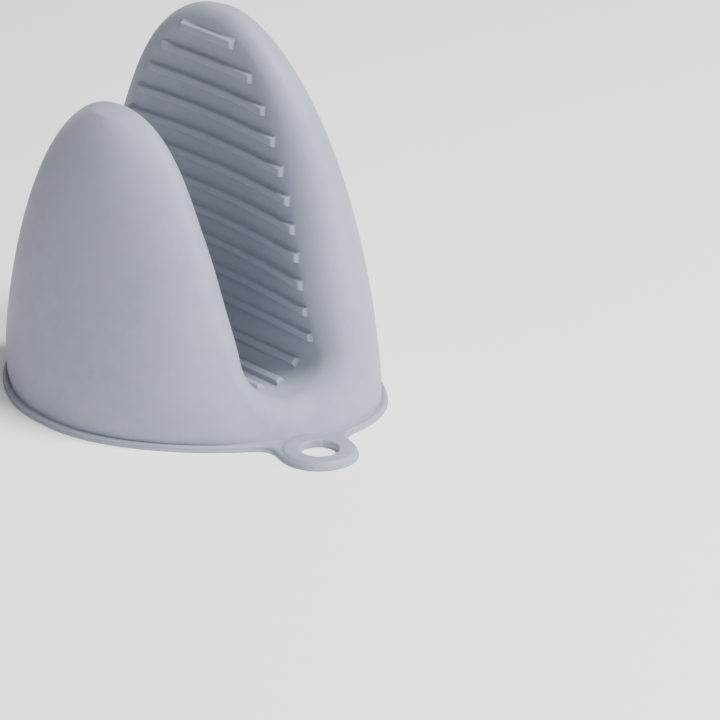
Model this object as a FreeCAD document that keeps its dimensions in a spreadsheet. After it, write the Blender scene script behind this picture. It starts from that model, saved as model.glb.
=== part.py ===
"""Moulded silicone mini oven mitt: a finger pocket and a thumb pocket that pinch together on a soft web.

The mitt stands on its cuff.  +Z points at the fingertips, +X from the thumb to the fingers, and Y runs along
the jaw, across the hand.  The origin is the centre of the cuff's opening, on the plane it stands on.
Each moulded region is a closed solid of its own, and neighbours on the same half meet face to face.
"""
import FreeCAD, Part
import math
import os
import Sketcher

DOCUMENT_NAME = "mini_oven_mitt"
OUT_FOLDER = "parts"
# Heights of a pocket's sections, as shares of its height: close together where the tip rounds over.
LEVELS = (0.0, 0.03, 0.07, 0.12, 0.19, 0.28, 0.44, 0.58, 0.70, 0.80, 0.88, 0.94, 0.975, 0.995)
ARC_STEPS = 12           # spans of the curve round the back of one section
LEAST_WIDTH = 0.5        # half width that a section keeps at the very tip
REACH = 200.0            # half size of the blocks that cut, larger than the mitt

# Driving dimensions, in millimetres and degrees, with plain exponents for the curves.
SIZES = {
    "wall": 2.0,
    # Cuff, the open end that the hand goes into.
    "cuff_half_depth": 48.0,
    "join_x": 1.0,
    "join_half_width": 51.9,
    "straight_side_height": 12.0,
    "flare_height": 21.5,
    "cuff_join_half_width": 61.0,
    "roundness": 2.3,
    # Finger pocket.
    "finger_height": 111.5,
    "finger_half_width": 55.0,
    "finger_cuff_half_width": 61.0,
    "finger_cuff_widest_x": 10.0,
    "finger_tip_x": 18.0,
    "finger_widest_low_x": 14.0,
    "finger_widest_top_x": 14.0,
    "finger_width_power": 2.0,
    "finger_width_root": 0.5,
    "finger_back_power": 1.05,
    "finger_back_root": 0.5,
    # Thumb pocket.
    "thumb_height": 90.0,
    "thumb_half_width": 47.5,
    "thumb_cuff_half_width": 55.5,
    "thumb_cuff_widest_x": -10.0,
    "thumb_tip_x": -25.0,
    "thumb_widest_low_x": -17.0,
    "thumb_widest_top_x": -17.0,
    "thumb_width_power": 1.6,
    "thumb_width_root": 0.47,
    "thumb_back_power": 1.3,
    "thumb_back_root": 0.6,
    # Jaw, the channel between the pockets that takes a pan's rim or handle.
    "jaw_floor_z": 10.0,
    "jaw_half_width": 12.5,
    "finger_wall_lean": 1.5,
    "thumb_wall_lean": 4.0,
    # Web, the bend at the bottom of the jaw that works as the hinge.
    "web_finger_reach": 13.5,
    "web_thumb_reach": 16.5,
    "web_clearance": 0.3,
    # Rim, the flange round the cuff's opening.
    "rim_lip": 2.2,
    "rim_thickness": 1.6,
    # Hanging loop on the rim, at the thumb web.
    "loop_x": -4.0,
    "loop_reach": 16.5,
    "loop_half_width": 11.2,
    "loop_hole_radius": 5.6,
    "loop_thickness": 1.8,
    # Grip ribs, across both walls of the jaw and round its floor.
    "rib_width": 2.6,
    "rib_height": 1.6,
    "rib_bevel": 0.5,
    "rib_pitch": 7.9,
    "rib_edge_margin": 8.7,
    "wall_rib_offset": 0.5,
    "finger_rib_count": 11,
    "thumb_rib_count": 7,
    "web_rib_count": 4,
    "web_rib_half_length": 36.0,
}


def start_document():
    """An empty document with the driving dimensions in its spreadsheet."""
    doc = FreeCAD.newDocument(DOCUMENT_NAME)
    sheet = doc.addObject("Spreadsheet::Sheet", "sizes")
    for row, (name, value) in enumerate(SIZES.items(), start=1):
        sheet.set(f"A{row}", name)
        sheet.set(f"B{row}", str(value))
        sheet.setAlias(f"B{row}", name)
    doc.recompute()
    return doc, sheet


class Pocket:
    """The form of one half of the mitt: its width and the line of its back over its height."""

    def __init__(self, sheet, side, sign):
        self.side = side
        self.sign = sign
        self.height = getattr(sheet, f"{side}_height")
        self.half_width = getattr(sheet, f"{side}_half_width")
        self.cuff_half_width = getattr(sheet, f"{side}_cuff_half_width")
        self.cuff_widest_x = getattr(sheet, f"{side}_cuff_widest_x")
        self.tip_x = getattr(sheet, f"{side}_tip_x")
        self.widest_low_x = getattr(sheet, f"{side}_widest_low_x")
        self.widest_top_x = getattr(sheet, f"{side}_widest_top_x")
        self.width_power = getattr(sheet, f"{side}_width_power")
        self.width_root = getattr(sheet, f"{side}_width_root")
        self.back_power = getattr(sheet, f"{side}_back_power")
        self.back_root = getattr(sheet, f"{side}_back_root")
        self.wall_lean = getattr(sheet, f"{side}_wall_lean")
        self.cuff_x = sign * sheet.cuff_half_depth
        self.base = sheet.straight_side_height
        self.roundness = sheet.roundness
        self.join_x = sheet.join_x
        self.join_half_width = sheet.join_half_width
        self.cuff_join_half_width = sheet.cuff_join_half_width
        self.flare_height = sheet.flare_height

    def narrowing(self, z):
        """The share of its full width that the pocket keeps at height z."""
        share = min(1.0, max(0.0, z - self.base) / (self.height - self.base))
        return (1.0 - share ** self.width_power) ** self.width_root

    def back_x(self, z):
        """Where the pocket's back is at height z, in the middle of its width."""
        share = z / self.height
        left = (1.0 - share ** self.back_power) ** self.back_root
        return self.tip_x + (self.cuff_x - self.tip_x) * left

    def flare(self, z):
        """The share of the cuff's flare that is left at height z."""
        return max(0.0, 1.0 - z / self.flare_height) ** 2

    def width(self, z, full, at_cuff):
        """A half width at height z that is full above the flare and at_cuff on the cuff plane."""
        return full * self.narrowing(z) + (at_cuff - full) * self.flare(z)

    def widest_x(self, z):
        """Where the pocket is widest at height z."""
        straight = self.widest_low_x + (self.widest_top_x - self.widest_low_x) * z / self.height
        return straight + (self.cuff_widest_x - straight) * self.flare(z)

    def section(self, z, inset):
        """The closed outline at height z, its skin moved inwards by inset, cut off at the join plane."""
        widest = self.widest_x(z)
        depth = max(self.sign * (self.back_x(z) - widest) - inset, LEAST_WIDTH) * self.sign
        half = max(self.width(z, self.half_width, self.cuff_half_width) - inset, LEAST_WIDTH)
        join = max(self.width(z, self.join_half_width, self.cuff_join_half_width) - inset, LEAST_WIDTH)
        spread = (half - join) / (widest - self.join_x)
        points = []
        for step in range(ARC_STEPS + 1):
            turn = math.pi * (step / ARC_STEPS - 0.5)
            along = abs(math.cos(turn)) ** (2 / self.roundness)
            across = math.copysign(abs(math.sin(turn)) ** (2 / self.roundness), turn)
            points.append(FreeCAD.Vector(widest + depth * along, (half + spread * depth * along) * across, z))
        back = Part.BSplineCurve()
        back.interpolate(points)
        low = FreeCAD.Vector(self.join_x, -join, z)
        high = FreeCAD.Vector(self.join_x, join, z)
        return Part.Wire([
            back.toShape(),
            Part.makeLine(points[-1], high),
            Part.makeLine(high, low),
            Part.makeLine(low, points[0]),
        ])

    def form(self, inset):
        """The half mitt as a solid form, its skin moved inwards by inset and its foot on the cuff plane."""
        top = self.height - inset
        return Part.makeLoft([self.section(top * share, inset) for share in LEVELS], True, False)

    def foot_print(self, margin, thickness):
        """A flat plate of the cuff's outline, grown by margin, from the cuff plane up."""
        face = Part.Face(self.section(0.0, -margin))
        return face.extrude(FreeCAD.Vector(0, 0, thickness))


def block(low, high):
    """A box between two corners, each given as x, y, z."""
    size = [b - a for a, b in zip(low, high)]
    return Part.makeBox(*size, FreeCAD.Vector(*low))


def jaw_form(sheet, growth):
    """The jaw's channel as a solid that runs right through along Y, grown outwards by growth."""
    radius = sheet.jaw_half_width + growth
    centre_z = sheet.jaw_floor_z + sheet.jaw_half_width
    rise = REACH - centre_z
    right = sheet.join_x + radius
    left = sheet.join_x - radius
    right_top = right - rise * math.tan(math.radians(sheet.finger_wall_lean))
    left_top = left - rise * math.tan(math.radians(sheet.thumb_wall_lean))

    def at(x, z):
        return FreeCAD.Vector(x, -REACH, z)

    outline = Part.Wire([
        Part.Arc(at(left, centre_z), at(sheet.join_x, centre_z - radius), at(right, centre_z)).toShape(),
        Part.makeLine(at(right, centre_z), at(right_top, REACH)),
        Part.makeLine(at(right_top, REACH), at(left_top, REACH)),
        Part.makeLine(at(left_top, REACH), at(left, centre_z)),
    ])
    return Part.Face(outline).extrude(FreeCAD.Vector(0, 2 * REACH, 0))


def split(sheet, shape, web_top):
    """The finger side, web and thumb side of a shape that runs round the whole mitt."""
    finger_edge = sheet.join_x + sheet.web_finger_reach
    thumb_edge = sheet.join_x - sheet.web_thumb_reach
    web_block = block((thumb_edge, -REACH, -REACH), (finger_edge, REACH, web_top))
    web = shape.common(web_block)
    rest = shape.cut(block((thumb_edge - sheet.web_clearance, -REACH, -REACH), (finger_edge, REACH, web_top)))
    fingers = rest.common(block((sheet.join_x, -REACH, -REACH), (REACH, REACH, REACH)))
    thumb = rest.common(block((-REACH, -REACH, -REACH), (sheet.join_x, REACH, REACH)))
    return fingers, web, thumb


def add_shape(doc, name, shape):
    """A sub-part of the document from a shape."""
    piece = doc.addObject("Part::Feature", name)
    piece.Label = name
    piece.Shape = shape
    return piece


def add_skin(doc, sheet, finger, thumb):
    """The two pockets and the web between them, as one skin cut at the web's edges."""
    wall = sheet.wall
    outside = finger.form(0.0).fuse(thumb.form(0.0)).cut(jaw_form(sheet, 0.0))
    inside = finger.form(wall).fuse(thumb.form(wall)).cut(jaw_form(sheet, wall))
    web_top = sheet.jaw_floor_z + sheet.jaw_half_width
    fingers, web, thumbs = split(sheet, outside.cut(inside), web_top)
    return [
        add_shape(doc, "finger_pocket", fingers),
        add_shape(doc, "web", web),
        add_shape(doc, "thumb_pocket", thumbs),
    ]


def add_rim(doc, sheet, finger, thumb):
    """The flange round the foot of the cuff, in three lengths that match the skin's."""
    thickness = sheet.rim_thickness
    plate = finger.foot_print(sheet.rim_lip, thickness).fuse(thumb.foot_print(sheet.rim_lip, thickness))
    ring = plate.cut(finger.form(0.0).fuse(thumb.form(0.0)))
    fingers, web, thumbs = split(sheet, ring, thickness + 1.0)
    return [
        add_shape(doc, "finger_rim", fingers),
        add_shape(doc, "web_rim", web),
        add_shape(doc, "thumb_rim", thumbs),
    ]


def add_hanging_loop(doc, sheet, finger, thumb):
    """The flat tab with a round eye, seated against the rim's edge beside the web."""
    root_y = -(sheet.cuff_join_half_width + sheet.rim_lip)
    centre_y = root_y - sheet.loop_reach + sheet.loop_half_width
    outer = sheet.loop_half_width
    body = doc.addObject("PartDesign::Body", "loop_body")
    sketch = body.newObject("Sketcher::SketchObject", "loop_outline")
    plane = next(f for f in body.Origin.OriginFeatures if f.Role == "XY_Plane")
    sketch.AttachmentSupport = [(plane, "")]
    sketch.MapMode = "FlatFace"
    x = sheet.loop_x
    inner_y = 2 * root_y - centre_y + 2 * outer

    def at(px, py):
        return FreeCAD.Vector(px, py, 0)

    arc = Part.ArcOfCircle(Part.Circle(at(x, centre_y), FreeCAD.Vector(0, 0, 1), outer), math.pi, 2 * math.pi)
    sketch.addGeometry(arc, False)
    sketch.addGeometry(Part.LineSegment(at(x + outer, centre_y), at(x + outer, inner_y)), False)
    sketch.addGeometry(Part.LineSegment(at(x + outer, inner_y), at(x - outer, inner_y)), False)
    sketch.addGeometry(Part.LineSegment(at(x - outer, inner_y), at(x - outer, centre_y)), False)
    eye = Part.Circle(at(x, centre_y), FreeCAD.Vector(0, 0, 1), sheet.loop_hole_radius)
    sketch.addGeometry(eye, False)
    sketch.addConstraint([
        Sketcher.Constraint("Tangent", 0, 2, 1, 1),
        Sketcher.Constraint("Coincident", 1, 2, 2, 1),
        Sketcher.Constraint("Coincident", 2, 2, 3, 1),
        Sketcher.Constraint("Tangent", 3, 2, 0, 1),
        Sketcher.Constraint("Horizontal", 2),
        Sketcher.Constraint("Coincident", 4, 3, 0, 3),
    ])
    for name, constraint, formula in (
        ("outer_radius", Sketcher.Constraint("Radius", 0, outer), "sizes.loop_half_width"),
        ("eye_radius", Sketcher.Constraint("Radius", 4, sheet.loop_hole_radius), "sizes.loop_hole_radius"),
        ("centre_x", Sketcher.Constraint("DistanceX", -1, 1, 0, 3, x), "sizes.loop_x"),
        ("centre_y", Sketcher.Constraint("DistanceY", 0, 3, -1, 1, -centre_y),
         "sizes.cuff_join_half_width + sizes.rim_lip + sizes.loop_reach - sizes.loop_half_width"),
        ("root_y", Sketcher.Constraint("DistanceY", 1, 1, 1, 2, inner_y - centre_y), "2 * sizes.loop_reach"),
    ):
        index = sketch.addConstraint(constraint)
        sketch.renameConstraint(index, name)
        sketch.setExpression(f"Constraints.{name}", formula)
    pad = body.newObject("PartDesign::Pad", "loop_plate")
    pad.Profile = sketch
    pad.setExpression("Length", "sizes.loop_thickness")
    doc.recompute()

    seat = add_shape(doc, "rim_seat", finger.foot_print(sheet.rim_lip, REACH).fuse(
        thumb.foot_print(sheet.rim_lip, REACH)))
    tab = doc.addObject("Part::Cut", "hanging_loop")
    tab.Base = body
    tab.Tool = seat
    tab.Label = "hanging_loop"
    return [tab]


def add_wall_ribs(doc, sheet, pocket, count):
    """Level ribs up one wall of the jaw, each as long as the pocket is wide at its height."""
    ribs = []
    side = pocket.side
    foot_z = sheet.jaw_floor_z + sheet.jaw_half_width
    lean = math.radians(pocket.wall_lean)
    for number in range(count):
        rib = doc.addObject("Part::Box", f"{side}_rib_{number + 1:02d}_bar")
        climb = sheet.wall_rib_offset + number * sheet.rib_pitch
        top_z = foot_z + (climb + sheet.rib_width) * math.cos(lean)
        half = pocket.half_width * pocket.narrowing(top_z) - sheet.rib_edge_margin
        rib.setExpression("Length", "sizes.rib_height")
        rib.setExpression("Height", "sizes.rib_width")
        rib.Width = 2 * half
        foot_x = sheet.join_x + pocket.sign * sheet.jaw_half_width - climb * math.sin(lean)
        turn = FreeCAD.Rotation(FreeCAD.Vector(0, 1, 0), -pocket.wall_lean)
        start = FreeCAD.Vector(-sheet.rib_height if pocket.sign > 0 else 0.0, -half, 0)
        foot = FreeCAD.Vector(foot_x, 0, foot_z + climb * math.cos(lean))
        rib.Placement = FreeCAD.Placement(foot + turn.multVec(start), turn)
        doc.recompute()
        crown = [i + 1 for i, e in enumerate(rib.Shape.Edges) if on_crown(e, rib, pocket.sign)]
        bevel = doc.addObject("Part::Chamfer", f"{side}_rib_{number + 1:02d}")
        bevel.Base = rib
        bevel.Edges = [(edge, sheet.rib_bevel, sheet.rib_bevel) for edge in crown]
        bevel.Label = f"{side}_rib_{number + 1:02d}"
        ribs.append(bevel)
    return ribs


def on_crown(edge, rib, sign):
    """Whether an edge lies on the face of a bar that stands away from the wall."""
    flat = rib.Placement.inverse().multVec
    crown_x = 0.0 if sign > 0 else float(rib.Length)
    return all(abs(flat(v.Point).x - crown_x) < 1e-6 for v in edge.Vertexes)


def add_web_ribs(doc, sheet):
    """Ribs round the floor of the jaw, at the same pitch along its bend."""
    ribs = []
    radius = sheet.jaw_half_width
    centre = FreeCAD.Vector(sheet.join_x, 0, sheet.jaw_floor_z + radius)
    middle = (sheet.web_rib_count - 1) / 2
    half = sheet.web_rib_half_length
    for number in range(sheet.web_rib_count):
        turn = math.degrees((number - middle) * sheet.rib_pitch / radius)
        ring = Part.makeCylinder(radius, 2 * half, centre - FreeCAD.Vector(0, half, 0), FreeCAD.Vector(0, 1, 0))
        core = Part.makeCylinder(radius - sheet.rib_height, 2 * half, centre - FreeCAD.Vector(0, half, 0),
                                 FreeCAD.Vector(0, 1, 0))
        bar = block((-sheet.rib_width / 2, -half, -radius), (sheet.rib_width / 2, half, 0))
        bar.rotate(FreeCAD.Vector(0, 0, 0), FreeCAD.Vector(0, 1, 0), turn)
        bar.translate(centre)
        ribs.append(add_shape(doc, f"web_rib_{number + 1}", ring.cut(core).common(bar)))
    return ribs


def write_parts(doc, pieces):
    """Checks every object and writes each sub-part's solids to a file of its own."""
    doc.recompute()
    for item in doc.Objects:
        if "Invalid" in item.State or "Error" in item.State:
            raise RuntimeError(f"{item.Name} is {item.State}")
    for piece in pieces:
        shape = piece.Shape
        if shape.isNull() or not shape.isValid() or not shape.Solids:
            raise RuntimeError(f"{piece.Label} has no valid solid")
    os.makedirs(OUT_FOLDER, exist_ok=True)
    for piece in pieces:
        shape = piece.Shape
        whole = shape.Solids[0] if len(shape.Solids) == 1 else Part.makeCompound(shape.Solids)
        whole.exportStep(os.path.join(OUT_FOLDER, f"{piece.Label}.step"))
        print(f"{piece.Label}: {len(shape.Solids)} solid(s), {shape.Volume:.1f} mm3")


def main():
    doc, sheet = start_document()
    finger = Pocket(sheet, "finger", 1)
    thumb = Pocket(sheet, "thumb", -1)
    pieces = add_skin(doc, sheet, finger, thumb)
    pieces += add_rim(doc, sheet, finger, thumb)
    pieces += add_hanging_loop(doc, sheet, finger, thumb)
    pieces += add_wall_ribs(doc, sheet, finger, sheet.finger_rib_count)
    pieces += add_wall_ribs(doc, sheet, thumb, sheet.thumb_rib_count)
    pieces += add_web_ribs(doc, sheet)
    write_parts(doc, pieces)


main()
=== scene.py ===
"""Moulded silicone mini oven mitt, on a pale floor in soft studio light."""
import math
import bpy
import numpy as np
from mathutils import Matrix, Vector


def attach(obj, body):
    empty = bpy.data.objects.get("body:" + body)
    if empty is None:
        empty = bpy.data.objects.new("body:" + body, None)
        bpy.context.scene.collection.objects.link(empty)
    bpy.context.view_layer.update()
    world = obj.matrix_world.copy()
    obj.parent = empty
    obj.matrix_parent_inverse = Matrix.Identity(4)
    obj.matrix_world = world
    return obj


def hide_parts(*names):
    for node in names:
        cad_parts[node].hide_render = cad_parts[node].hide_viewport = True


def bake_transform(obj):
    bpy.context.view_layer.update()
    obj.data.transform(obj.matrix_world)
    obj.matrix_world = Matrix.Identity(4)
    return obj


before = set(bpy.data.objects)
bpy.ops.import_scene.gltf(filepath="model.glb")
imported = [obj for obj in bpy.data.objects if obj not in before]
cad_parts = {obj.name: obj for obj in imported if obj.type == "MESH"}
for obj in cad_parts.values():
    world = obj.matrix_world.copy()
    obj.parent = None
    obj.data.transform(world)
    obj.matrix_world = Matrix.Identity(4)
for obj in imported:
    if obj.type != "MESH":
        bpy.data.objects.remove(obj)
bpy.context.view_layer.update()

# ---- Sizes, in millimetres and degrees, mostly as the CAD model has them --------------------------------------

WALL = 2.0
CUFF_HALF_DEPTH = 48.0
JOIN_X = 1.0                 # where the finger's form ends and the thumb's begins
STRAIGHT_SIDE = 12.0
ROUNDNESS = 2.3
JOIN_HALF_WIDTH = 51.9
CUFF_JOIN_HALF_WIDTH = 61.0
FLARE_HEIGHT = 21.5          # the cuff flares out below this
WAIST = 1.5                  # the cuff draws in by this where the two pockets meet
WAIST_REACH = 12.0

FINGER = dict(sign=1, height=111.5, half_width=55.0, cuff_half_width=61.0,
              tip_x=18.0, widest_x=14.0, cuff_widest_x=10.0,
              width_power=2.0, width_root=0.5, back_power=1.05, back_root=0.5, lean=1.5, dish=1.9)
THUMB = dict(sign=-1, height=90.0, half_width=47.5, cuff_half_width=55.5,
             tip_x=-25.0, widest_x=-17.0, cuff_widest_x=-10.0,
             width_power=1.6, width_root=0.47, back_power=1.3, back_root=0.6, lean=4.0, dish=0.0)

JAW_FLOOR = 10.0
JAW_RADIUS = 12.5
JAW_CENTRE_Z = JAW_FLOOR + JAW_RADIUS
DISH_SPAN = 30.0             # half width over which a grip face dishes by its dish value
SHOULDER = 11.0              # radius of the ridge round both grip faces
WEB_SHOULDER = 6.0           # the same ridge over the web, and at the tips
TIP_SHOULDER = 5.5

RIM_LIP = 2.2
LOOP_RADIUS = 11.2
LOOP_REACH = 16.5            # from the rim's edge to the loop's far end
LOOP_X = -4.0
LOOP_Y = -(CUFF_JOIN_HALF_WIDTH + RIM_LIP) - LOOP_REACH + LOOP_RADIUS
EYE_RADIUS = 5.6

# Flat layers of the rim: middle height and half thickness.
FLANGE = (0.85, 0.75)
PARTING_EDGE = (0.2, 0.2)
EYE_PAD = (1.15, 1.15)
FLANGE_SETBACK = 0.35        # the flange stops this far inside its thin parting edge
PAD_SETBACK = 0.9
RIM_UNDERLAP = 1.2           # how far the rim reaches in under the skin
GROOVE_OUT = 0.35            # the groove round the skin's foot: its centre's place, and its radius
GROOVE_Z = 1.75
GROOVE_RADIUS = 0.42

RIB_WIDTH = 2.6
RIB_HEIGHT = 1.6
RIB_PITCH = 7.9
RIB_OFFSET = 0.5             # the first wall rib's foot above the jaw's bend
RIB_MARGIN = 8.7             # bare wall past each end of a wall rib
RIB_BEVEL = 0.62             # the crown comes down over this length at each end
WEB_RIB_HALF = 41.0          # 5 longer than the CAD's, to reach nearer the web's edge
FINGER_RIBS = 11
THUMB_RIBS = 7
THUMB_RIB_CUT = 4.5          # the thumb ribs stop short of the ridge round their face
WEB_RIBS = 4

SKIN_CELL = 0.9
RIM_CELL = 0.34


# ---- The mitt's form as distance functions -------------------------------------------------------------------

def smooth_step(t):
    t = np.clip(t, 0.0, 1.0)
    return t * t * (3 - 2 * t)


def round_max(a, b, radius):
    """What is inside both a and b, with the edge between them rounded."""
    u = np.maximum(radius + a, 0.0)
    v = np.maximum(radius + b, 0.0)
    return np.minimum(-radius, np.maximum(a, b)) + np.sqrt(u * u + v * v)


def smooth_min(a, b, reach):
    """What is inside a or b, with the corner between them filled."""
    h = np.clip(0.5 + 0.5 * (b - a) / reach, 0.0, 1.0)
    return b + (a - b) * h - reach * h * (1.0 - h)


def climb_share(pocket, z):
    """How far up the narrowing part of the pocket z is, from 0 to 1 at the tip."""
    return np.maximum(z - STRAIGHT_SIDE, 0.0) / (pocket["height"] - STRAIGHT_SIDE)


def narrowing(pocket, z):
    """The share of its full width that the pocket keeps at height z."""
    left = np.clip(1.0 - climb_share(pocket, z) ** pocket["width_power"], 0.0, 1.0)
    return left ** pocket["width_root"]


def arch(pocket, z):
    """The narrowing as the section's formula uses it, which runs on smoothly below zero over the tip."""
    left = 1.0 - climb_share(pocket, z) ** pocket["width_power"]
    return np.sign(left) * np.abs(left) ** (pocket["width_root"] * ROUNDNESS)


def back_x(pocket, z):
    """Where the pocket's back is at height z, along the middle plane."""
    share = np.clip(z / pocket["height"], 0.0, 0.9999)
    left = (1.0 - share ** pocket["back_power"]) ** pocket["back_root"]
    return pocket["tip_x"] + (pocket["sign"] * CUFF_HALF_DEPTH - pocket["tip_x"]) * left


def raw_form(pocket, x, y, z):
    """Below zero inside the pocket's round form, with no jaw cut."""
    sign = pocket["sign"]
    flare = np.clip(1.0 - z / FLARE_HEIGHT, 0.0, 1.0) ** 2
    widest = pocket["widest_x"] + (pocket["cuff_widest_x"] - pocket["widest_x"]) * flare
    half = pocket["half_width"] + (pocket["cuff_half_width"] - pocket["half_width"]) * flare
    join = JOIN_HALF_WIDTH + (CUFF_JOIN_HALF_WIDTH - JOIN_HALF_WIDTH) * flare
    width = join + (half - join) * (x - JOIN_X) / (widest - JOIN_X)
    width = width - WAIST * flare * np.clip(1.0 - np.abs(x - JOIN_X) / WAIST_REACH, 0.0, 1.0) ** 2
    across = (np.abs(y) / np.maximum(width, 8.0)) ** ROUNDNESS
    depth = np.maximum(sign * (back_x(pocket, z) - widest), 3.0)
    out = (np.maximum(sign * (x - widest), 0.0) / depth) ** ROUNDNESS
    left = arch(pocket, z)
    # The factor brings the value near to millimetres; form() then corrects it by the slope.
    return (across - left + np.maximum(left, 0.02) * out) * 30.0


def gradient(function, x, y, z, step):
    """The function's slope along each axis, by central differences."""
    gx = function(x + step, y, z) - function(x - step, y, z)
    gy = function(x, y + step, z) - function(x, y - step, z)
    gz = function(x, y, z + step) - function(x, y, z - step)
    return gx / (2 * step), gy / (2 * step), gz / (2 * step)


def form(pocket, x, y, z):
    """Distance in mm to the pocket's round form, near its skin."""
    def raw(a, b, c):
        return raw_form(pocket, a, b, c)
    gx, gy, gz = gradient(raw, x, y, z, 0.15)
    slope = np.maximum(np.sqrt(gx * gx + gy * gy + gz * gz), 0.35)
    return raw(x, y, z) / slope


def ease_in(t, reach):
    """Grows like t, but starts off flat."""
    t = np.maximum(t, 0.0)
    return t - reach * (1.0 - np.exp(-t / reach))


def wall_x(pocket, y, z):
    """Where the pocket's grip face is, at height z above the jaw's bend."""
    sign = pocket["sign"]
    lean = math.tan(math.radians(pocket["lean"])) * ease_in(z - JAW_CENTRE_Z, 6.0)
    rise = smooth_step((z - 14.0) / 30.0)
    dish = pocket["dish"] * rise * (0.75 - (y / DISH_SPAN) ** 2)
    return JOIN_X + sign * (JAW_RADIUS + dish) - lean


def jaw(x, y, z):
    """Distance to the jaw's channel, below zero inside it."""
    upper = np.maximum(x - wall_x(FINGER, y, z), wall_x(THUMB, y, z) - x)
    shift = np.where(x > JOIN_X,
                     wall_x(FINGER, y, z) - JOIN_X - JAW_RADIUS,
                     JOIN_X - JAW_RADIUS - wall_x(THUMB, y, z))
    fade = smooth_step((np.abs(x - JOIN_X) - 2.0) / 9.0)
    lower = np.sqrt((x - JOIN_X) ** 2 + (z - JAW_CENTRE_Z) ** 2) - JAW_RADIUS - shift * fade
    return np.where(z > JAW_CENTRE_Z, upper, lower)


def skin(x, y, z):
    """The whole skin: the rounded outside, less the hollow, open at the cuff."""
    both = np.where(x > JOIN_X, form(FINGER, x, y, z), form(THUMB, x, y, z))
    channel = jaw(x, y, z)
    height = np.where(x > JOIN_X, FINGER["height"], THUMB["height"])
    shoulder = WEB_SHOULDER + (SHOULDER - WEB_SHOULDER) * smooth_step((z - 12.0) / 30.0)
    shoulder = shoulder + (TIP_SHOULDER - SHOULDER) * smooth_step((z / height - 0.62) / 0.38)
    outside = round_max(both, -channel, shoulder)
    hollow = round_max(both + WALL, WALL - channel, shoulder - WALL)
    shell = np.maximum(outside, -hollow)
    return np.maximum(shell, -z)


def outline(x, y):
    """Distance in plan to the cuff's outline, below zero inside it."""
    level = np.zeros_like(x)

    def plan(a, b, c):
        return np.where(x > JOIN_X, raw_form(FINGER, a, b, c), raw_form(THUMB, a, b, c))
    gx, gy, _ = gradient(plan, x, y, level, 0.1)
    return plan(x, y, level) / np.maximum(np.sqrt(gx * gx + gy * gy), 0.35)


def rim(x, y, z):
    """The flange round the cuff with its parting line, and the hanging loop with its raised eye."""
    def layer(middle, half):
        return np.abs(z - middle) - half

    edge = outline(x, y)
    from_eye = np.sqrt((x - LOOP_X) ** 2 + (y - LOOP_Y) ** 2)
    flange = smooth_min(edge - RIM_LIP, from_eye - LOOP_RADIUS, 9.0)
    sheet = round_max(flange + FLANGE_SETBACK, layer(*FLANGE), 0.35)
    flash = round_max(flange, layer(*PARTING_EDGE), 0.15)
    solid = np.minimum(sheet, flash)
    pad = round_max(from_eye - (LOOP_RADIUS - PAD_SETBACK), layer(*EYE_PAD), 0.55)
    solid = smooth_min(solid, pad, 0.5)
    groove = np.sqrt((edge - GROOVE_OUT) ** 2 + (z - GROOVE_Z) ** 2) - GROOVE_RADIUS
    groove = np.where(from_eye < LOOP_RADIUS + 0.4, 1.0, groove)
    solid = np.maximum(solid, -groove)
    solid = np.maximum(solid, -(edge + RIM_UNDERLAP))
    return round_max(solid, EYE_RADIUS - from_eye, 0.45)


# ---- Meshes from distance functions --------------------------------------------------------------------------

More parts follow.
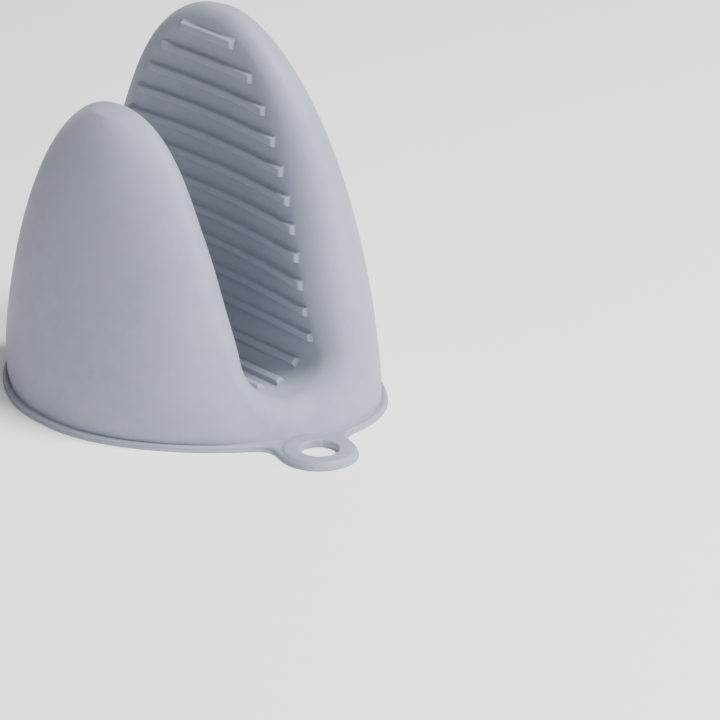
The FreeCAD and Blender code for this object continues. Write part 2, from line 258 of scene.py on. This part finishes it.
def surface(function, low, high, cell):
    """Vertices and quads on the zero surface of a distance function, from a grid of cells."""
    axes = [np.arange(a, b + cell, cell) for a, b in zip(low, high)]
    grid = np.meshgrid(*axes, indexing="ij")
    values = function(*grid)
    inside = values < 0
    shape = tuple(n - 1 for n in values.shape)
    corner = [(i, j, k) for i in (0, 1) for j in (0, 1) for k in (0, 1)]

    def cells(array, c):
        return array[c[0]:c[0] + shape[0], c[1]:c[1] + shape[1], c[2]:c[2] + shape[2]]

    count = np.zeros(shape, np.int8)
    for c in corner:
        count += cells(inside, c)
    active = (count > 0) & (count < 8)
    index = -np.ones(shape, np.int64)
    index[active] = np.arange(active.sum())
    where = np.argwhere(active)
    total = np.zeros((len(where), 3))
    crossings = np.zeros(len(where))
    for c in corner:
        for axis in range(3):
            if c[axis]:
                continue
            d = list(c)
            d[axis] = 1
            a = cells(values, c)[active]
            b = cells(values, d)[active]
            cross = (a < 0) != (b < 0)
            share = np.where(cross, a / np.where(cross, a - b, 1.0), 0.0)
            point = np.tile(np.array(c, float), (len(where), 1))
            point[:, axis] += share
            total[cross] += point[cross]
            crossings[cross] += 1
    points = (where + total / crossings[:, None]) * cell + np.array(low)

    quads = []
    for axis in range(3):
        u, v = (axis + 1) % 3, (axis + 2) % 3
        first = [slice(1, n) for n in shape]
        first[axis] = slice(0, shape[axis])
        second = list(first)
        second[axis] = slice(1, shape[axis] + 1)
        a, b = inside[tuple(first)], inside[tuple(second)]
        for change, flip in ((a & ~b, False), (~a & b, True)):
            at = np.argwhere(change)
            offset = np.ones(3, int)
            offset[axis] = 0
            at = at + offset
            ring = []
            for du, dv in ((-1, -1), (0, -1), (0, 0), (-1, 0)):
                q = at.copy()
                q[:, u] += du
                q[:, v] += dv
                ring.append(index[q[:, 0], q[:, 1], q[:, 2]])
            ring = np.stack(ring, 1)
            quads.append(ring[:, ::-1] if flip else ring)
    quads = np.concatenate(quads)
    quads = quads[(quads >= 0).all(1)]

    # Newton steps pull each vertex onto the true surface, without leaving its own cell by much.
    start = points.copy()
    for _ in range(3):
        x, y, z = points.T
        value = function(x, y, z)
        g = np.stack(gradient(function, x, y, z, 0.04), 1)
        step = value[:, None] * g / np.maximum((g * g).sum(1), 0.2)[:, None]
        length = np.linalg.norm(step, axis=1, keepdims=True)
        points = points - step * np.minimum(1.0, 0.5 * cell / np.maximum(length, 1e-9))
        drift = points - start
        far = np.linalg.norm(drift, axis=1, keepdims=True)
        points = start + drift * np.minimum(1.0, 0.8 * cell / np.maximum(far, 1e-9))
    return points, quads


def make_piece(name, points, faces, material):
    """A smooth-shaded mesh object in metres from points in millimetres."""
    mesh = bpy.data.meshes.new(name)
    faces = faces.tolist() if isinstance(faces, np.ndarray) else faces
    mesh.from_pydata((np.asarray(points) * 0.001).tolist(), [], faces)
    mesh.update()
    mesh.polygons.foreach_set("use_smooth", [True] * len(mesh.polygons))
    piece = bpy.data.objects.new(name, mesh)
    bpy.context.collection.objects.link(piece)
    mesh.materials.append(material)
    return piece


# ---- Material -------------------------------------------------------------------------------------------------

def silicone():
    """Matte moulded silicone: a fine satin grain from the mould, faint clouding, lint and paler worn edges."""
    material = bpy.data.materials.new("moulded_silicone")
    material.use_nodes = True
    nodes, links = material.node_tree.nodes, material.node_tree.links
    shader = nodes["Principled BSDF"]
    place = nodes.new("ShaderNodeTexCoord").outputs["Object"]

    def noise(scale, detail, rough=0.55):
        node = nodes.new("ShaderNodeTexNoise")
        node.inputs["Scale"].default_value = scale
        node.inputs["Detail"].default_value = detail
        node.inputs["Roughness"].default_value = rough
        links.new(place, node.inputs["Vector"])
        return node.outputs["Fac"]

    def ramp(value, low, high, a, b):
        node = nodes.new("ShaderNodeMapRange")
        node.inputs["From Min"].default_value = low
        node.inputs["From Max"].default_value = high
        node.inputs["To Min"].default_value = a
        node.inputs["To Max"].default_value = b
        links.new(value, node.inputs["Value"])
        return node.outputs["Result"]

    def mix(factor, a, b):
        node = nodes.new("ShaderNodeMix")
        node.data_type = "RGBA"
        links.new(factor, node.inputs["Factor"])
        for socket, colour in (("A", a), ("B", b)):
            target = [s for s in node.inputs if s.name == socket and s.type == "RGBA"][0]
            if isinstance(colour, tuple):
                target.default_value = (*colour, 1.0)
            else:
                links.new(colour, target)
        return [s for s in node.outputs if s.type == "RGBA"][0]

    clouds = mix(ramp(noise(22.0, 3.0), 0.35, 0.65, 0.0, 1.0), (0.222, 0.237, 0.308), (0.246, 0.261, 0.332))
    mottle = mix(ramp(noise(260.0, 4.0), 0.42, 0.62, 0.0, 0.35), clouds, (0.262, 0.277, 0.346))
    lint = mix(ramp(noise(900.0, 2.0), 0.735, 0.78, 0.0, 0.30), mottle, (0.50, 0.51, 0.54))
    edge = nodes.new("ShaderNodeNewGeometry").outputs["Pointiness"]
    worn = mix(ramp(edge, 0.515, 0.60, 0.0, 0.35), lint, (0.38, 0.392, 0.44))
    links.new(worn, shader.inputs["Base Color"])
    links.new(ramp(noise(70.0, 4.0), 0.3, 0.7, 0.50, 0.62), shader.inputs["Roughness"])
    shader.inputs["Sheen Weight"].default_value = 0.12
    shader.inputs["Sheen Roughness"].default_value = 0.45
    shader.inputs["IOR"].default_value = 1.42
    shader.inputs["Specular IOR Level"].default_value = 0.38

    grain = nodes.new("ShaderNodeBump")
    grain.inputs["Strength"].default_value = 0.10
    grain.inputs["Distance"].default_value = 0.00012
    links.new(noise(2400.0, 3.0), grain.inputs["Height"])
    swell = nodes.new("ShaderNodeBump")
    swell.inputs["Strength"].default_value = 0.18
    swell.inputs["Distance"].default_value = 0.0006
    links.new(noise(45.0, 2.0), swell.inputs["Height"])
    links.new(grain.outputs["Normal"], swell.inputs["Normal"])
    links.new(swell.outputs["Normal"], shader.inputs["Normal"])
    return material


SILICONE = silicone()


# ---- The skin, the rim and the ribs ---------------------------------------------------------------------------

def bend(piece):
    """Bake the piece's placement into its mesh."""
    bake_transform(piece)


def make_skin():
    points, quads = surface(skin, (-50.0, -64.0, -1.5), (50.0, 64.0, 114.0), SKIN_CELL)
    piece = make_piece("moulded_skin", points, quads, SILICONE)
    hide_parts("finger_pocket", "web", "thumb_pocket")
    bend(piece)


def make_rim():
    points, quads = surface(rim, (-52.0, -82.0, -0.9), (52.0, 65.0, 3.2), RIM_CELL)
    piece = make_piece("cuff_rim_and_loop", points, quads, SILICONE)
    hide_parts("finger_rim", "web_rim", "thumb_rim", "hanging_loop")
    bend(piece)


# Half of a rib's section, from its root in the wall to the middle of its crown: share of half width, height.
RIB_PROFILE = ((1.42, -0.5), (1.36, -0.02), (1.12, 0.12), (1.02, 0.38), (0.99, 0.80), (0.97, 1.08),
               (0.92, 1.30), (0.80, 1.47), (0.62, 1.56), (0.36, 1.60), (0.0, 1.61))


def make_rib(name, half, foot, along):
    """A bar across the jaw, as long as half each way from the middle.

    foot(y, t) gives the wall's point at t across the bar, and along(y, t) the wall's outward normal there.
    """
    profile = [(s * RIB_WIDTH / 2, h) for s, h in RIB_PROFILE]
    profile += [(-t, h) for t, h in reversed(profile[:-1])]
    # Distances from the middle: dense at the ends, where the crown comes down in a short bevel.
    ends = [half - d for d in (3.0, 1.6, 1.0, 0.62, 0.36, 0.18, 0.06, 0.0)]
    middle = list(np.linspace(0, half - 4.0, max(3, int(half / 2.2))))
    places = middle + ends
    places = [-p for p in reversed(places[1:])] + places
    points, faces = [], []
    for y in places:
        left = half - abs(y)
        crown = RIB_HEIGHT * min(1.0, (max(left, 0.0) / RIB_BEVEL) ** 0.5 * 0.62 + 0.38)
        for t, h in profile:
            limit = min(h, crown - 0.16 * (1 - min(1.0, left / RIB_BEVEL)))
            px, pz = foot(y, t)
            nx, nz = along(y, t)
            points.append((px + nx * limit, y, pz + nz * limit))
    row = len(profile)
    for i in range(len(places) - 1):
        for j in range(row - 1):
            a = i * row + j
            faces.append((a, a + 1, a + row + 1, a + row))
    for i in (0, len(places) - 1):
        ring = [i * row + j for j in range(row)]
        centre = len(points)
        points.append(tuple(np.mean([points[ring[0]], points[ring[-1]], points[ring[row // 2]]], axis=0)))
        for j in range(row):
            a, b = ring[j], ring[(j + 1) % row]
            faces.append((a, b, centre) if i else (b, a, centre))
    piece = make_piece(name, points, faces, SILICONE)
    piece.data.polygons.foreach_set("use_smooth", [len(p.vertices) == 4 for p in piece.data.polygons])
    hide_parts(name.replace("bar_", ""))
    return piece


def wall_ribs(pocket, side, count):
    """The ribs up one grip face, shorter as the pocket narrows."""
    lean = math.radians(pocket["lean"])
    sign = pocket["sign"]
    for number in range(count):
        climb = RIB_OFFSET + number * RIB_PITCH
        middle_z = JAW_CENTRE_Z + (climb + RIB_WIDTH / 2) * math.cos(lean)
        top_z = JAW_CENTRE_Z + (climb + RIB_WIDTH) * math.cos(lean)
        half = pocket["half_width"] * float(narrowing(pocket, np.array(top_z))) - RIB_MARGIN
        half -= THUMB_RIB_CUT if sign < 0 else 0.0

        def foot(y, t):
            z = middle_z + t
            return float(wall_x(pocket, np.array(y), np.array(z))), z

        def along(y, t):
            return -sign * math.cos(lean), -math.sin(lean) if sign > 0 else math.sin(lean)

        rib = make_rib(f"bar_{side}_rib_{number + 1:02d}", half, foot, along)
        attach(rib, f"{side}_side")


def web_ribs():
    """The ribs round the bottom of the jaw."""
    for number in range(WEB_RIBS):
        turn = (number - (WEB_RIBS - 1) / 2) * RIB_PITCH / JAW_RADIUS

        def foot(y, t):
            angle = turn + t / JAW_RADIUS
            return JOIN_X - JAW_RADIUS * math.sin(angle), JAW_CENTRE_Z - JAW_RADIUS * math.cos(angle)

        def along(y, t):
            angle = turn + t / JAW_RADIUS
            return math.sin(angle), math.cos(angle)

        bend(make_rib(f"bar_web_rib_{number + 1}", WEB_RIB_HALF, foot, along))


make_skin()
make_rim()
wall_ribs(FINGER, "finger", FINGER_RIBS)
wall_ribs(THUMB, "thumb", THUMB_RIBS)
web_ribs()


# ---- Floor, light and camera ----------------------------------------------------------------------------------

def plain(name, colour, rough):
    """A material with one colour and no pattern."""
    material = bpy.data.materials.new(name)
    material.use_nodes = True
    shader = material.node_tree.nodes["Principled BSDF"]
    shader.inputs["Base Color"].default_value = (*colour, 1.0)
    shader.inputs["Roughness"].default_value = rough
    return material


def make_floor():
    bpy.ops.mesh.primitive_plane_add(size=12.0, location=(0, 0, -0.0001))
    floor = bpy.context.object
    floor.name = "floor"
    floor.data.materials.append(plain("pale_floor", (0.95, 0.95, 0.95), 0.80))


def add_light(name, place, aim, size, power):
    """A round soft light at place, turned towards aim."""
    data = bpy.data.lights.new(name, "AREA")
    data.shape = "DISK"
    data.size = size
    data.energy = power
    lamp = bpy.data.objects.new(name, data)
    lamp.location = place
    lamp.rotation_euler = (Vector(aim) - Vector(place)).to_track_quat("-Z", "Y").to_euler()
    bpy.context.collection.objects.link(lamp)


def make_light():
    world = bpy.data.worlds.new("studio")
    world.use_nodes = True
    sky = world.node_tree.nodes["Background"]
    sky.inputs["Color"].default_value = (1.0, 1.0, 1.0, 1.0)
    sky.inputs["Strength"].default_value = 0.38
    bpy.context.scene.world = world
    centre = (0.0, 0.0, 0.05)
    add_light("key", (0.30, -0.48, 1.15), centre, 0.45, 31.0)
    add_light("front", (0.75, -1.10, 0.35), centre, 0.60, 13.0)
    add_light("fill", (-0.50, -1.18, 0.35), centre, 0.60, 10.0)


LENS = 239.43                # millimetres; the other lengths here are in metres
CAMERA_DISTANCE = 1.38
CAMERA_AZIMUTH = -38.2
CAMERA_ELEVATION = 21.1
AIM_RIGHT = 0.0523           # the aim is right of and below the mitt, so the mitt stands at the upper left
AIM_DOWN = 0.0413


def make_camera():
    azimuth, elevation = math.radians(CAMERA_AZIMUTH), math.radians(CAMERA_ELEVATION)
    target = Vector((0.0, 0.0, 0.05))
    away = Vector((math.sin(azimuth) * math.cos(elevation), -math.cos(azimuth) * math.cos(elevation),
                   math.sin(elevation)))
    data = bpy.data.cameras.new("camera")
    data.sensor_width = 36.0
    data.lens = LENS
    data.clip_end = 30.0
    camera = bpy.data.objects.new("camera", data)
    camera.location = target + away * CAMERA_DISTANCE
    right = Vector((math.cos(azimuth), math.sin(azimuth), 0.0))
    aim = target + right * AIM_RIGHT - away.cross(right) * AIM_DOWN
    camera.rotation_euler = (aim - camera.location).to_track_quat("-Z", "Y").to_euler()
    bpy.context.collection.objects.link(camera)
    bpy.context.scene.camera = camera


make_floor()
make_light()
make_camera()
